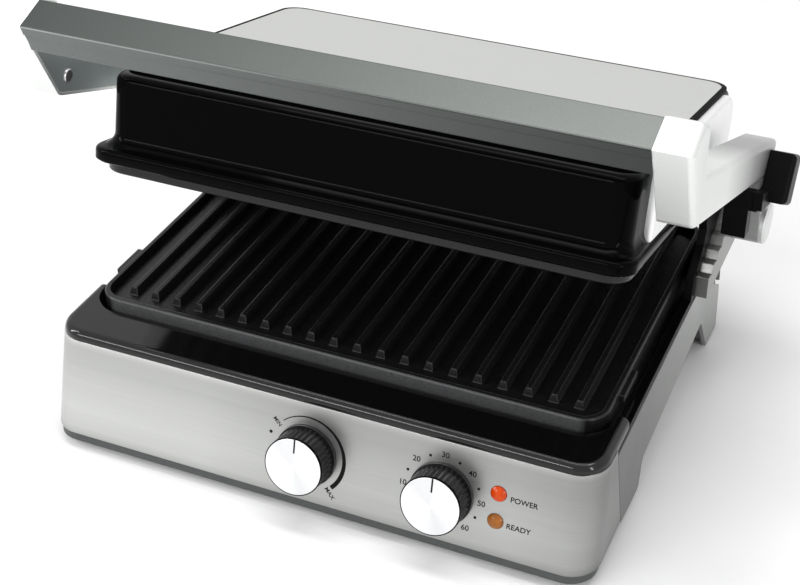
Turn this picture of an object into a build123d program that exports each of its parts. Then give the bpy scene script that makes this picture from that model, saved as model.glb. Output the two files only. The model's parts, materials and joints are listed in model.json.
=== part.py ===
from build123d import *
from math import asin, atan2, cos, degrees, hypot, pi, radians, sin, sqrt, tan
import os

# A contact grill, in millimetres: X to the right, Y to the back, Z up.
# The origin is on the table, under the middle of the base.
# It stands half open, with the lid hung between two arms.

# Grill plates, which are alike above and below
plate_half_width = 141.0
plate_depth = 197.0
plate_front_y = -85.0
plate_corner_radius = 14.0
plate_rim_width = 3.0
plate_rim_height = 4.5
plate_rim_chamfer = 0.7
plate_skirt_height = 5.0
plate_floor_thickness = 3.0
rib_height = 4.0
rib_base_width = 5.2
rib_top_width = 3.0
rib_pitch = 13.2
rib_count = 20
rib_front_margin = 13.0
rib_rear_margin = 6.0
rib_bevel_length = 1.6
lug_reach = 3.0
lug_length = 22.0
lug_height = 5.0
lug_from_front = 27.0
lug_drop = 1.0

# Heating parts
element_radius = 3.2
element_sides = 8
element_margin = 24.0
element_inner_half = 60.0
element_inner_front = 60.0
element_bend_radius = 15.0
element_seat_gap = 0.1
element_end_gap = 30.0
reflector_sheet = 0.8
reflector_height = 13.0
reflector_margin = 1.5

# Base: tray, cladding and deck
pocket_gap = 3.5
pocket_rear_gap = 2.0
side_ledge_width = 6.0
front_shelf_depth = 24.5
rear_shelf_depth = 13.0
foot_height = 4.5
foot_radius = 9.0
foot_inset = 24.0
tray_strip_height = 5.0
tray_inset = 1.5
tray_side_drop = 3.0
cladding_height = 52.5
front_lean = 13.5
side_lean = 2.2
front_corner_radius = 16.0
rear_corner_radius = 7.0
steel_thickness = 1.2
side_panel_thickness = 2.4
housing_wall = 2.5
deck_wall = 2.5
deck_front_rise = 5.0
deck_top_thickness = 3.0
deck_side_drop = 1.0
deck_ledge_thickness = 2.5
deck_edge_inset = 0.5
deck_edge_radius = 4.0
deck_floor_z = 47.0
deck_floor_thickness = 2.5
deck_step_y = -68.0
seam_top_y = -88.0
seam_bottom_y = -78.0
seam_gap = 0.6

# Outline of the side panels
panel_wrap = 10.0
panel_front_low_z = 8.0
panel_arch_low_z = 6.0
arch_front_y = -46.0
arch_front_run = 6.0
arch_front_z = 21.0
arch_rear_y = 77.0
arch_rear_z = 29.0
arch_radius = 5.0
leg_front_y = 95.0
leg_low_z = 1.0
shoulder_low_z = 25.0
shoulder_top_y = 73.0
shoulder_radius = 10.0

# Hinge towers, rack and pins
lid_tower_gap = 0.7
tower_thickness = 4.4
tower_depth = 76.0
tower_top_z = 110.0
tower_edge = [(1.0, 75.0), (11.0, 81.0), (17.0, 87.0), (20.0, 95.0), (16.0, 105.0), (12.0, 110.0)]
tower_rear_radius = 20.0
hinge_from_rear = 10.0
hinge_z = 79.0
hinge_pin_radius = 5.0
pin_fit = 0.06
rack_thickness = 7.0
rack_reach = 60.5
rack_front_z = 74.0
rack_tooth_count = 4
rack_tooth_flat = 4.6
rack_tooth_run = 2.8
rack_tooth_rise = 3.1
rack_valley_length = 2.4
rack_valley_run = 0.5
rack_valley_depth = 1.8
rack_hub_radius = 14.0
seat_gap = 0.2

# Arms and handle: reach from the hinge along the arm, rise square to it
arm_rest_angle = 22.4
lid_arm_gap = 10.7
arm_thickness = 17.7
arm_cover_thickness = 2.2
arm_cover_inset = 1.6
arm_top_rise = 48.0
arm_low_rise_rear = 28.0
arm_low_rise_front = 24.0
arm_rear_reach = 9.0
arm_web_reach = 45.0
arm_web_gap = 0.3
arm_web_overlap = 1.0
arm_web_front_share = 0.8
arm_web_rear_share = 0.9
arm_web_low_share = 0.6
arm_web_high_share = 0.4
arm_edge_radius = 3.0
barrel_radius = 12.0
barrel_cap_thickness = 3.5
barrel_cap_chamfer = 1.2
spacer_radius = 10.0
block_rear_reach = 214.0
block_top_reach = 224.0
block_top_drop = 1.0
block_corner_radius = 6.0
handle_front = (252.9, 59.3)
handle_top = (238.1, 72.5)
handle_back = (225.0, 59.5)
handle_low = (240.9, 47.2)
handle_cap_depth = 5.5
handle_groove = 1.2
handle_edge_radius = 1.2
handle_core_radius = 4.0
handle_core_overlap = 8.0
screw_reach = 208.0
screw_rise = 34.0
screw_head_radius = 3.6
screw_head_height = 1.0

# Lid: distances to the back and up from the front edge of its plate
pivot_reach = 106.8
pivot_rise = 36.4
pivot_back = 90.7
pivot_up = 37.7
lid_rest_tilt = 14.6
lid_rear_margin = 16.4
lid_rim_reach = 3.9
lid_rim_front = -6.0
lid_rim_low = 6.0
lid_rim_high = 13.3
lid_flare_high = 18.0
lid_flare_steps = 4
lid_wall_inset = 5.7
lid_wall_front = 3.5
lid_rim_corner_radius = 16.0
lid_wall_corner_radius = 9.0
lid_rear_corner_radius = 6.0
lid_skin = 2.5
lid_cover_inset = 1.3
lid_top_front_up = 51.0
lid_top_rear_up = 55.7
lid_top_edge_radius = 6.0
lid_panel_margin = 8.0
lid_panel_front_margin = 14.0
lid_panel_corner_radius = 8.0
lid_trim_width = 3.0
lid_trim_thickness = 2.0
lid_sheet_thickness = 1.0
lid_cover_front = 32.7
lid_cover_bevel_width = 3.4
lid_cover_bevel_height = 10.0
plate_pocket_gap = 0.8
closed_plate_gap = 0.4
pivot_stud_radius = 6.0
pivot_collar_radius = 10.0
pivot_stud_length = 8.0
running_gap = 0.3

# Controls on the leaning front panel
thermostat_x = 0.2
timer_x = 73.2
control_z = 34.8
knob_radius = 15.6
knob_flange_radius = 16.4
knob_flange_height = 1.6
knob_length = 15.5
knob_flutes = 36
knob_flute_depth = 0.7
knob_cap_radius = 15.0
knob_cap_thickness = 1.2
knob_panel_gap = 0.5
pointer_width = 0.9
pointer_length = 7.5
pointer_depth = 0.4
shaft_radius = 3.0
shaft_fit = 0.06
shaft_hole_gap = 1.0
shaft_grip = 10.0
shaft_engagement = 9.0
control_body_width = 30.0
control_body_depth = 16.0
control_body_radius = 5.0
control_window_gap = 1.0
lamp_x = 101.8
power_lamp_z = 42.6
ready_lamp_z = 28.0
lens_radius = 4.0
lens_shoulder = 0.4
lens_dome = 1.8
lens_dome_steps = 4
lens_flange_radius = 5.4
lens_flange_thickness = 1.0
lamp_holder_length = 12.0
lamp_fit = 0.1

# Release lever under the right arm
lever_gap = 0.3
lever_block_thickness = 14.5
lever_leg_inset = 3.2
lever_leg_outset = 1.5
lever_block_outline = [(9.0, 42.0), (30.0, 44.0), (37.0, 17.0), (14.0, 14.0)]
lever_leg_outline = [(38.0, 0.0), (49.0, -3.0), (61.0, 24.0), (51.0, 24.0)]
lever_cross_outline = [(42.0, 13.0), (55.0, 13.0), (61.0, 24.0), (47.0, 24.0)]
lever_plate_outline = [(27.0, 15.0), (56.0, 14.0), (61.0, 24.0), (33.0, 24.0)]
lever_plate_thickness = 5.0

# Cord bushing in the back
bushing_x = 95.0
bushing_z = 34.0
bushing_radius = 7.0
bushing_bore = 4.0
bushing_stand_out = 5.0
bushing_chamfer = 1.6

# Places that follow from the sizes above
plate_rear_y = plate_front_y + plate_depth
plate_height = plate_skirt_height + plate_floor_thickness + plate_rim_height
base_half_width = plate_half_width + pocket_gap + side_ledge_width
base_front_y = plate_front_y - pocket_gap - front_shelf_depth
base_rear_y = plate_rear_y + rear_shelf_depth
tray_top_z = foot_height + tray_strip_height
cladding_top_z = tray_top_z + cladding_height
deck_front_z = cladding_top_z + deck_front_rise
deck_side_z = cladding_top_z - deck_side_drop
deck_low_z = deck_floor_z - deck_floor_thickness
side_panel_top_z = deck_side_z - deck_ledge_thickness
plate_bottom_z = deck_floor_z + reflector_height
plate_rim_z = plate_bottom_z + plate_height
hinge_y = base_rear_y - hinge_from_rear
lid_depth = plate_depth + lid_rear_margin
lid_rim_half_width = plate_half_width + lid_rim_reach
lid_wall_half_width = lid_rim_half_width - lid_wall_inset
lid_side_half_width = lid_rim_half_width - lid_cover_inset
arm_inner_x = lid_side_half_width + lid_arm_gap
arm_outer_x = arm_inner_x + arm_thickness
tower_inner_x = lid_rim_half_width + lid_tower_gap
tower_outer_x = tower_inner_x + tower_thickness
rack_outer_x = tower_outer_x + rack_thickness
foot_x = base_half_width - foot_inset
foot_front_y = base_front_y + foot_inset / 2
foot_rear_y = base_rear_y - foot_inset / 2
web_inner_x = rack_outer_x + arm_web_gap
far = 400.0
cut_margin = 1.0

# Where the arms and the lid stand at rest, and how far the grill closes
arm_place = Location((0, hinge_y, hinge_z), (-arm_rest_angle, 0, 0))
pivot_place = arm_place * Pos(0, -pivot_reach, pivot_rise)
lid_place = (
    Location(pivot_place.position, (-lid_rest_tilt, 0, 0)) * Pos(0, -pivot_back, -pivot_up)
)
pivot_radius = hypot(pivot_reach, pivot_rise)
pivot_rest_angle = arm_rest_angle + degrees(atan2(pivot_rise, pivot_reach))
closed_pivot_height = plate_rim_z + closed_plate_gap + pivot_up - hinge_z
closing_angle = pivot_rest_angle - degrees(asin(closed_pivot_height / pivot_radius))
tilt_ratio = lid_rest_tilt / closing_angle - 1


def polygon(points):
    """A flat face from its corners."""
    return make_face(Polyline(*points, close=True))


def rounded_polygon(points, radius, rounded):
    """A flat face whose corners nearest the given points are rounded."""
    face = polygon(points)
    for point in rounded:
        corner = face.vertices().sort_by_distance((*point, 0))[0]
        face = fillet(corner, radius)
    return face


def rounded_outline(half_width, front, rear, front_radius, rear_radius):
    """A rectangle about X = 0 with rounded corners."""
    face = Pos(0, (front + rear) / 2) * Rectangle(2 * half_width, rear - front)
    face = fillet(face.vertices().sort_by(Axis.Y)[:2], front_radius)
    return fillet(face.vertices().sort_by(Axis.Y)[-2:], rear_radius)


def rounded_block(half_width, front, rear, low, high, front_radius, rear_radius):
    """A block with upright rounded corners."""
    outline = rounded_outline(half_width, front, rear, front_radius, rear_radius)
    return extrude(Pos(0, 0, low) * outline, high - low)


def block(low, high):
    """A plain block between two corners."""
    size = [b - a for a, b in zip(low, high)]
    middle = [(a + b) / 2 for a, b in zip(low, high)]
    return Pos(*middle) * Box(*size)


def side_slab(outline, low_x, high_x):
    """An outline drawn in Y and Z, given thickness along X."""
    return extrude(Plane.YZ.offset(low_x) * outline, high_x - low_x)


def front_slab(outline, low_y, high_y):
    """An outline drawn in X and Z, given thickness along Y."""
    return extrude(Plane.XZ.offset(-high_y) * outline, high_y - low_y)


def cross_cylinder(radius, low_x, high_x, y, z):
    """A cylinder along X."""
    return Pos((low_x + high_x) / 2, y, z) * Rot(0, 90, 0) * Cylinder(radius, high_x - low_x)


def both_sides(solid):
    """A piece and its mirror image, as two solids."""
    return Compound(children=[solid, mirror(solid, Plane.YZ)])


# Base body


def seam_y(height):
    """Where the steel ends and the side panel starts, at a height."""
    share = (height - tray_top_z) / cladding_height
    return seam_bottom_y + (seam_top_y - seam_bottom_y) * share


def front_zone(shift):
    """All of the space in front of the seam, moved back by a shift."""
    low = seam_y(-far) + shift
    high = seam_y(far) + shift
    outline = polygon([(-far, -far), (low, -far), (high, far), (-far, far)])
    return side_slab(outline, -far, far)


def base_section(height, inset):
    """The base's outline at a height, moved in by an inset."""
    drop = cladding_top_z - height
    half_width = base_half_width + drop * tan(radians(side_lean)) - inset
    front = base_front_y - drop * tan(radians(front_lean)) + inset
    outline = rounded_outline(
        half_width,
        front,
        base_rear_y - inset,
        front_corner_radius - inset,
        rear_corner_radius - inset,
    )
    return Pos(0, 0, height) * outline


def base_body(low, high, inset):
    """The leaning body of the base between two heights."""
    return loft([base_section(low, inset), base_section(high, inset)], ruled=True)


def clad_body(low, high, front_inset, rear_inset):
    """The body behind the steel in front and behind the side panels."""
    front = base_body(low, high, front_inset) & front_zone(0)
    rear = base_body(low, high, rear_inset) - front_zone(0)
    return front + rear


def panel_frame(x, height):
    """A place on the front panel's outer face, with Z pointing out of it."""
    y = base_front_y - (cladding_top_z - height) * tan(radians(front_lean))
    lean = radians(front_lean)
    plane = Plane(origin=(x, y, height), x_dir=(1, 0, 0), z_dir=(0, -cos(lean), sin(lean)))
    return plane.location


thermostat_place = panel_frame(thermostat_x, control_z)
timer_place = panel_frame(timer_x, control_z)
power_place = panel_frame(lamp_x, power_lamp_z)
ready_place = panel_frame(lamp_x, ready_lamp_z)
shaft_hole_radius = shaft_radius + shaft_hole_gap
window_size = control_body_width + 2 * control_window_gap


def control_windows():
    """Openings behind the front panel for the controls and lamps."""
    window = Box(window_size, window_size, 2 * (control_body_depth + steel_thickness))
    lamp_window = Cylinder(lens_flange_radius + control_window_gap, 2 * lamp_holder_length)
    places = [thermostat_place, timer_place]
    return [p * window for p in places] + [p * lamp_window for p in (power_place, ready_place)]


def make_front_steel():
    skin = base_body(tray_top_z, cladding_top_z, 0)
    skin -= base_body(tray_top_z - cut_margin, cladding_top_z + cut_margin, steel_thickness)
    skin &= front_zone(0)
    for place in (thermostat_place, timer_place):
        skin -= place * Cylinder(shaft_hole_radius, 6 * steel_thickness)
    for place in (power_place, ready_place):
        skin -= place * Cylinder(lens_radius + lamp_fit, 6 * steel_thickness)
    return skin


def side_panel_outline():
    top = side_panel_top_z
    arch_start = (arch_front_y, panel_arch_low_z)
    arch_front = (arch_front_y + arch_front_run, arch_front_z)
    arch_rear = (arch_rear_y, arch_rear_z)
    shoulder = (shoulder_top_y, top)
    points = [
        (seam_y(top) + seam_gap, top),
        (seam_y(panel_front_low_z) + seam_gap, panel_front_low_z),
        arch_start,
        arch_front,
        arch_rear,
        (leg_front_y, leg_low_z),
        (base_rear_y, leg_low_z),
        (base_rear_y, shoulder_low_z),
        shoulder,
    ]
    face = rounded_polygon(points, arch_radius, [arch_start, arch_front, arch_rear])
    corner = face.vertices().sort_by_distance((*shoulder, 0))[0]
    return fillet(corner, shoulder_radius)


def make_side_panel():
    shell = base_body(0, side_panel_top_z, 0)
    shell -= base_body(-cut_margin, side_panel_top_z + cut_margin, side_panel_thickness)
    return shell & side_slab(side_panel_outline(), base_half_width - panel_wrap, far)


def tray_underside(rise):
    """Corners of the tray's underside from front to back, raised by a rise."""
    points = [
        (-far, foot_height),
        (arch_front_y, foot_height),
        (arch_front_y + arch_front_run, arch_front_z - tray_side_drop),
        (arch_rear_y, arch_rear_z - tray_side_drop),
        (leg_front_y, foot_height),
        (far, foot_height),
    ]
    return [(y, z + rise) for y, z in points]


def below_tray_top():
    points = tray_underside(tray_strip_height) + [(far, -far), (-far, -far)]
    return side_slab(polygon(points), -far, far)


def make_bottom_tray():
    points = tray_underside(tray_strip_height) + tray_underside(0)[::-1]
    slab = side_slab(polygon(points), -far, far)
    return clad_body(0, deck_low_z, tray_inset, side_panel_thickness) & slab


def make_base_housing():
    shell = clad_body(0, deck_low_z, steel_thickness, side_panel_thickness)
    inside = side_panel_thickness + housing_wall
    shell -= base_body(-cut_margin, deck_low_z + cut_margin, inside)
    shell -= below_tray_top()
    for window in control_windows():
        shell -= window
    return shell - cord_hole(bushing_radius)


def cord_hole(radius):
    length = bushing_stand_out + rear_corner_radius
    place = Pos(bushing_x, base_rear_y, bushing_z) * Rot(90, 0, 0)
    return place * Cylinder(radius, 2 * length)


def make_rear_cover():
    shell = base_body(tray_top_z, side_panel_top_z, 0)
    shell -= base_body(
        tray_top_z - cut_margin, side_panel_top_z + cut_margin, side_panel_thickness
    )
    half = base_half_width - panel_wrap - seam_gap
    back = block((-half, leg_front_y, 0), (half, far, far))
    points = [
        (shoulder_top_y + shoulder_radius, side_panel_top_z),
        (base_rear_y + cut_margin, shoulder_low_z + seam_gap),
        (base_rear_y + cut_margin, side_panel_top_z),
    ]
    rise = seam_gap * 2
    above = side_slab(polygon([(y, z + rise) for y, z in points]), -far, far)
    cover = (shell & back) + (shell & above)
    return cover - cord_hole(bushing_radius)


def make_cord_bushing():
    inner = base_rear_y - side_panel_thickness - housing_wall
    outer = base_rear_y + bushing_stand_out
    place = Pos(bushing_x, (inner + outer) / 2, bushing_z) * Rot(90, 0, 0)
    ring = place * Cylinder(bushing_radius, outer - inner)
    ring = chamfer(ring.edges().sort_by(Axis.Y)[-1], bushing_chamfer)
    return ring - place * Cylinder(bushing_bore, 2 * (outer - inner))


def make_feet():
    feet = []
    for x in (-foot_x, foot_x):
        for y in (foot_front_y, foot_rear_y):
            foot = Pos(x, y, foot_height / 2) * Cylinder(foot_radius, foot_height)
            feet.append(foot)
    return Compound(children=feet)


def pocket_block(margin, low, high):
    """The well that holds the lower plate, grown by a margin."""
    return rounded_block(
        plate_half_width + pocket_gap + margin,
        plate_front_y - pocket_gap - margin,
        plate_rear_y + pocket_rear_gap + margin,
        low,
        high,
        plate_corner_radius + pocket_gap + margin,
        plate_corner_radius,
    )


def make_top_deck():
    inset = steel_thickness + seat_gap / 2
    tub = clad_body(deck_low_z, side_panel_top_z, inset, side_panel_thickness)
    lip = base_body(side_panel_top_z, cladding_top_z, inset) & front_zone(0)
    half = base_half_width - deck_edge_inset
    front = base_front_y + deck_edge_inset
    rear = base_rear_y - deck_edge_inset
    radius = front_corner_radius - deck_edge_inset
    ledge = rounded_block(
        half, front, rear, side_panel_top_z, cladding_top_z, radius, rear_corner_radius
    )
    ledge -= front_zone(seam_gap)
    shelf = rounded_block(half, front, rear, cladding_top_z, deck_front_z, radius, radius)
    shelf = fillet(shelf.edges().group_by(Axis.Z)[-1], deck_edge_radius)
    deck = tub + lip + ledge + shelf
    deck -= block((-far, deck_step_y, deck_side_z), (far, far, far))
    deck -= pocket_block(0, deck_floor_z, far)
    hollow = base_body(0, deck_front_z - deck_top_thickness, inset + deck_wall)
    hollow &= block((-far, -far, 0), (far, deck_step_y, far))
    deck -= hollow - pocket_block(deck_wall, 0, far)
    for window in control_windows():
        deck -= window
    return deck


# Grill plates and heating


def make_rib():
    half_base = rib_base_width / 2
    half_top = rib_top_width / 2
    floor = plate_skirt_height + plate_floor_thickness
    top = floor + rib_height
    section = polygon(
        [(-half_base, floor), (half_base, floor), (half_top, top), (-half_top, top)]
    )
    front = rib_front_margin
    rear = plate_depth - rib_rear_margin
    side = polygon(
        [
            (front, floor),
            (front + rib_bevel_length, top),
            (rear - rib_bevel_length, top),
            (rear, floor),
        ]
    )
    rib = front_slab(section, front, rear)
    return rib & side_slab(side, -rib_base_width, rib_base_width)


def make_grill_plate():
    """A ribbed plate from its skirt at Z = 0 up to its rim, front edge at Y = 0."""
    radius = plate_corner_radius
    width = plate_half_width
    rim = plate_rim_width
    plate = rounded_block(width, 0, plate_depth, 0, plate_height, radius, radius)
    plate = chamfer(plate.edges().group_by(Axis.Z)[-1], plate_rim_chamfer)
    floor = plate_skirt_height + plate_floor_thickness
    inner = radius - rim
    plate -= rounded_block(
        width - rim, rim, plate_depth - rim, floor, 2 * plate_height, inner, inner
    )
    plate -= rounded_block(
        width - rim, rim, plate_depth - rim, -cut_margin, plate_skirt_height, inner, inner
    )
    rib = make_rib()
    middle = (rib_count - 1) / 2
    plate += [Pos((i - middle) * rib_pitch, 0, 0) * rib for i in range(rib_count)]
    return plate


def make_plate_lugs():
    """Finger tabs on the two side rims, to lift the plate out by."""
    low_y = lug_from_front
    points = [
        (low_y, plate_height - lug_height),
        (low_y + lug_length, plate_height - lug_height),
        (low_y + lug_length, plate_height - lug_drop),
        (low_y, plate_height - lug_drop),
    ]
    edge = plate_half_width - plate_rim_width / 2
    return side_slab(polygon(points), edge, plate_half_width + lug_reach)


def make_lower_plate():
    lug = make_plate_lugs()
    plate = make_grill_plate() + lug + mirror(lug, Plane.YZ)
    return Pos(0, plate_front_y, plate_bottom_z) * plate


def make_reflector():
    """A pressed sheet tray that fills the space between plate and floor."""
    margin = reflector_margin
    radius = plate_corner_radius - margin
    half = plate_half_width - margin
    rear = plate_depth - margin
    tray = rounded_block(half, margin, rear, -reflector_height, 0, radius, radius)
    half -= reflector_sheet
    radius -= reflector_sheet
    low = reflector_sheet - reflector_height
    cut = rounded_block(
        half, margin + reflector_sheet, rear - reflector_sheet, low, cut_margin, radius, radius
    )
    return tray - cut


def make_element():
    """A tubular heater looped round under the plate."""
    height = plate_skirt_height - element_seat_gap - element_radius
    outer = plate_half_width - element_margin
    front = element_margin
    rear = plate_depth - element_margin
    inner = element_inner_half
    points = [
        (-inner, rear),
        (-outer, rear),
        (-outer, front),
        (outer, front),
        (outer, rear),
        (inner, rear),
        (inner, element_inner_front),
        (-inner, element_inner_front),
        (-inner, rear - element_end_gap),
    ]
    path = FilletPolyline(*[(x, y, height) for x, y in points], radius=element_bend_radius)
    start = Plane(origin=path @ 0, z_dir=path % 0)
    return sweep(start * RegularPolygon(element_radius, element_sides), path=path)


# Hinge towers, rack and pins


def make_tower():
    """An upright cheek whose curved front edge clears the rack."""
    front = base_rear_y - tower_depth
    top = tower_top_z
    points = [(front, deck_side_z)]
    points += [(front + back, height) for back, height in tower_edge]
    points += [(base_rear_y, top), (base_rear_y, deck_side_z)]
    face = rounded_polygon(points, tower_rear_radius, [(base_rear_y, top)])
    tower = side_slab(face, tower_inner_x, tower_outer_x)
    return tower - cross_cylinder(hinge_pin_radius, 0, far, hinge_y, hinge_z)


def make_rack():
    """The flat-topped teeth that the release lever steps along, and their hub."""
    y = hinge_y - rack_reach
    z = rack_front_z
    low = deck_side_z + seat_gap
    points = [(y, low), (y, z)]
    for tooth in range(rack_tooth_count):
        y += rack_tooth_flat
        points.append((y, z))
        points.append((y + rack_valley_run, z - rack_valley_depth))
        y += rack_valley_length
        points.append((y, z - rack_valley_depth))
        y += rack_tooth_run
        z += rack_tooth_rise
        points.append((y, z))
    hub_top = hinge_z + rack_hub_radius
    points += [(hinge_y, hub_top), (hinge_y + rack_hub_radius, hinge_z)]
    points.append((hinge_y + rack_hub_radius - seat_gap, low))
    face = polygon(points) + Pos(hinge_y, hinge_z) * Circle(rack_hub_radius)
    rack = side_slab(face, tower_outer_x, rack_outer_x)
    return rack - cross_cylinder(hinge_pin_radius, 0, far, hinge_y, hinge_z)


def make_hinge_pins():
    end = arm_outer_x - running_gap
    pin = cross_cylinder(hinge_pin_radius, tower_inner_x, end, hinge_y, hinge_z)
    return both_sides(pin)


# Arms and handle, drawn with Y running back from the hinge and Z square to the arm


def arm_points(points):
    return [(-reach, rise) for reach, rise in points]


def arm_bar_outline():
    """The bar and the end block that takes the handle."""
    rear = arm_rear_reach
    low_front = (block_rear_reach, arm_low_rise_front)
    step = (block_rear_reach, arm_top_rise)
    points = arm_points(
        [
            (rear, arm_top_rise),
            step,
            (block_top_reach, handle_top[1] - block_top_drop),
            handle_top,
            handle_front,
            low_front,
            (arm_web_reach, arm_low_rise_rear),
            (rear, arm_low_rise_rear),
        ]
    )
    rounded = arm_points([low_front, step])
    return rounded_polygon(points, block_corner_radius, rounded)


def arm_web_outline():
    """The gusset that carries the bar down to the hinge barrel."""
    points = arm_points(
        [
            (arm_rear_reach, arm_low_rise_rear + arm_web_overlap),
            (arm_web_reach, arm_low_rise_rear + arm_web_overlap),
            (arm_web_reach / 2, barrel_radius),
            (barrel_radius * arm_web_front_share, -barrel_radius * arm_web_low_share),
            (-barrel_radius * arm_web_rear_share, barrel_radius * arm_web_high_share),
        ]
    )
    return polygon(points) + Circle(barrel_radius)


def make_arm(spacer_inner_x):
    """The right-hand arm, with a spacer that reaches in to the given place."""
    bar = side_slab(arm_bar_outline(), arm_inner_x, arm_outer_x)
    outer_edges = bar.edges().group_by(Axis.X)[-1]
    bar = fillet(outer_edges, arm_edge_radius)
    web = side_slab(arm_web_outline(), web_inner_x, arm_outer_x)
    arm = bar - arm_cover_blank() + web
    if spacer_inner_x < web_inner_x:
        arm += cross_cylinder(spacer_radius, spacer_inner_x, web_inner_x, 0, 0)
    arm -= cross_cylinder(hinge_pin_radius + pin_fit, 0, far, 0, 0)
    arm -= pivot_bore()
    return arm - handle_core()


def pivot_bore():
    end = arm_inner_x + pivot_stud_length + running_gap
    return cross_cylinder(pivot_stud_radius + pin_fit, 0, end, -pivot_reach, pivot_rise)


def arm_cover_blank():
    """The plate let into the arm's inner face, flush with it."""
    outline = offset(arm_bar_outline(), amount=-arm_cover_inset, kind=Kind.INTERSECTION)
    return side_slab(outline, arm_inner_x, arm_inner_x + arm_cover_thickness)


def make_arm_cover():
    return arm_cover_blank() - pivot_bore() - handle_core()


def handle_core():
    corners = [handle_front, handle_top, handle_back, handle_low]
    reach = sum(p[0] for p in corners) / 4
    rise = sum(p[1] for p in corners) / 4
    half = arm_inner_x + handle_core_overlap
    return cross_cylinder(handle_core_radius, -half, half, -reach, rise)


def handle_inward(point, depth, slide):
    """A point moved square to the handle's face, and along it towards the top."""
    run = handle_top[0] - handle_front[0]
    rise = handle_top[1] - handle_front[1]
    length = hypot(run, rise)
    along = (run / length, rise / length)
    inward = (-along[1], along[0])
    reach = point[0] + inward[0] * depth + along[0] * slide
    height = point[1] + inward[1] * depth + along[1] * slide
    return (reach, height)


def make_handle_cap():
    points = [
        handle_front,
        handle_top,
        handle_inward(handle_top, handle_cap_depth, 0),
        handle_inward(handle_front, handle_cap_depth, 0),
    ]
    corners = arm_points(points)
    face = rounded_polygon(corners, handle_edge_radius, corners[:2])
    return side_slab(face, -arm_inner_x, arm_inner_x) - handle_core()


def make_handle_body():
    points = [
        handle_inward(handle_front, handle_cap_depth, handle_groove),
        handle_inward(handle_top, handle_cap_depth, 0),
        handle_back,
        handle_low,
    ]
    corners = arm_points(points)
    face = rounded_polygon(corners, handle_edge_radius, corners[2:])
    return side_slab(face, -arm_inner_x, arm_inner_x) - handle_core()


def make_barrel_caps():
    outer = arm_outer_x + barrel_cap_thickness
    cap = cross_cylinder(barrel_radius, arm_outer_x, outer, 0, 0)
    cap = chamfer(cap.edges().sort_by(Axis.X)[-1], barrel_cap_chamfer)
    return both_sides(cap)


def make_arm_screws():
    inner = arm_inner_x - screw_head_height
    head = cross_cylinder(screw_head_radius, inner, arm_inner_x, -screw_reach, screw_rise)
    head = chamfer(head.edges().sort_by(Axis.X)[0], screw_head_height / 2)
    return both_sides(head)


def make_lever():
    inner = arm_outer_x + lever_gap
    outer = inner + lever_block_thickness
    head = side_slab(polygon(arm_points(lever_block_outline)), inner, outer)
    head = fillet(head.edges().group_by(Axis.X)[-1], arm_edge_radius)
    leg_outline = polygon(arm_points(lever_leg_outline))
    leg_x = arm_inner_x + lever_leg_inset
    leg = side_slab(leg_outline, leg_x, arm_outer_x - lever_leg_outset)
    plate_outline = polygon(arm_points(lever_plate_outline))
    plate = side_slab(plate_outline, inner, inner + lever_plate_thickness)
    cross_outline = polygon(arm_points(lever_cross_outline))
    cross = side_slab(cross_outline, leg_x, inner + lever_plate_thickness / 2)
    return head + plate + cross + leg


# Lid, drawn with Y running back from the plate's front edge and Z up from it


def lid_outline(share):
    """The lid's outline on its way from the rim, at 0, to the wall, at 1."""
    half = lid_rim_half_width + (lid_wall_half_width - lid_rim_half_width) * share
    front = lid_rim_front + (lid_wall_front - lid_rim_front) * share
    radius = lid_rim_corner_radius + (lid_wall_corner_radius - lid_rim_corner_radius) * share
    return rounded_outline(half, front, lid_depth, radius, lid_rear_corner_radius)


def lid_top_place():
    """On the lid's sloping top, over the wall's front face."""
    run = lid_depth - lid_wall_front
    angle = degrees(atan2(lid_top_rear_up - lid_top_front_up, run))
    return Location((0, lid_wall_front, lid_top_front_up), (angle, 0, 0))


def above_lid(depth):
    """All of the space above the lid's top, lowered by a depth."""
    return lid_top_place() * Pos(0, 0, -depth) * block((-far, -far, 0), (far, far, far))


def lid_side_view(half_width):
    """The lid's upper body seen from the side, with its front edge rounded."""
    edge = (lid_wall_front, lid_top_front_up)
    points = [
        (lid_wall_front, lid_flare_high),
        edge,
        (lid_depth, lid_top_rear_up),
        (lid_depth, lid_flare_high),
    ]
    face = rounded_polygon(points, lid_top_edge_radius, [edge])
    return side_slab(face, -half_width, half_width)


def make_lid_shell():
    rim = extrude(Pos(0, 0, lid_rim_low) * lid_outline(0), lid_rim_high - lid_rim_low)
    sections = []
    for step in range(lid_flare_steps + 1):
        share = step / lid_flare_steps
        up = lid_rim_high + (lid_flare_high - lid_rim_high) * share
        sections.append(Pos(0, 0, up) * lid_outline((1 - cos(pi * share)) / 2))
    flare = loft(sections, ruled=True)
    wall = extrude(Pos(0, 0, lid_flare_high) * lid_outline(1), lid_top_rear_up - lid_flare_high)
    wall &= lid_side_view(lid_wall_half_width)
    return rim + flare + wall - lid_hollow() - plate_pocket()


def lid_hollow():
    skin = lid_skin
    hollow = rounded_block(
        lid_wall_half_width - skin,
        lid_wall_front + skin,
        lid_depth - skin,
        lid_rim_low + skin,
        lid_top_rear_up,
        lid_wall_corner_radius - skin,
        lid_rear_corner_radius - skin,
    )
    return hollow - above_lid(skin)


def plate_pocket():
    gap = plate_pocket_gap
    radius = plate_corner_radius + gap
    high = plate_height + reflector_sheet + seat_gap
    half = plate_half_width + gap
    return rounded_block(half, -gap, plate_depth + gap, 0, high, radius, radius)


def lid_top_panel(inset, low, high):
    """A sheet over the lid's top between two heights, its outline moved in."""
    run = hypot(lid_depth - lid_wall_front, lid_top_rear_up - lid_top_front_up)
    radius = lid_panel_corner_radius - inset
    half = lid_wall_half_width - lid_panel_margin - inset
    front = lid_panel_front_margin + inset
    rear = run - lid_panel_margin - inset
    return lid_top_place() * rounded_block(half, front, rear, low, high, radius, radius)


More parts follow.
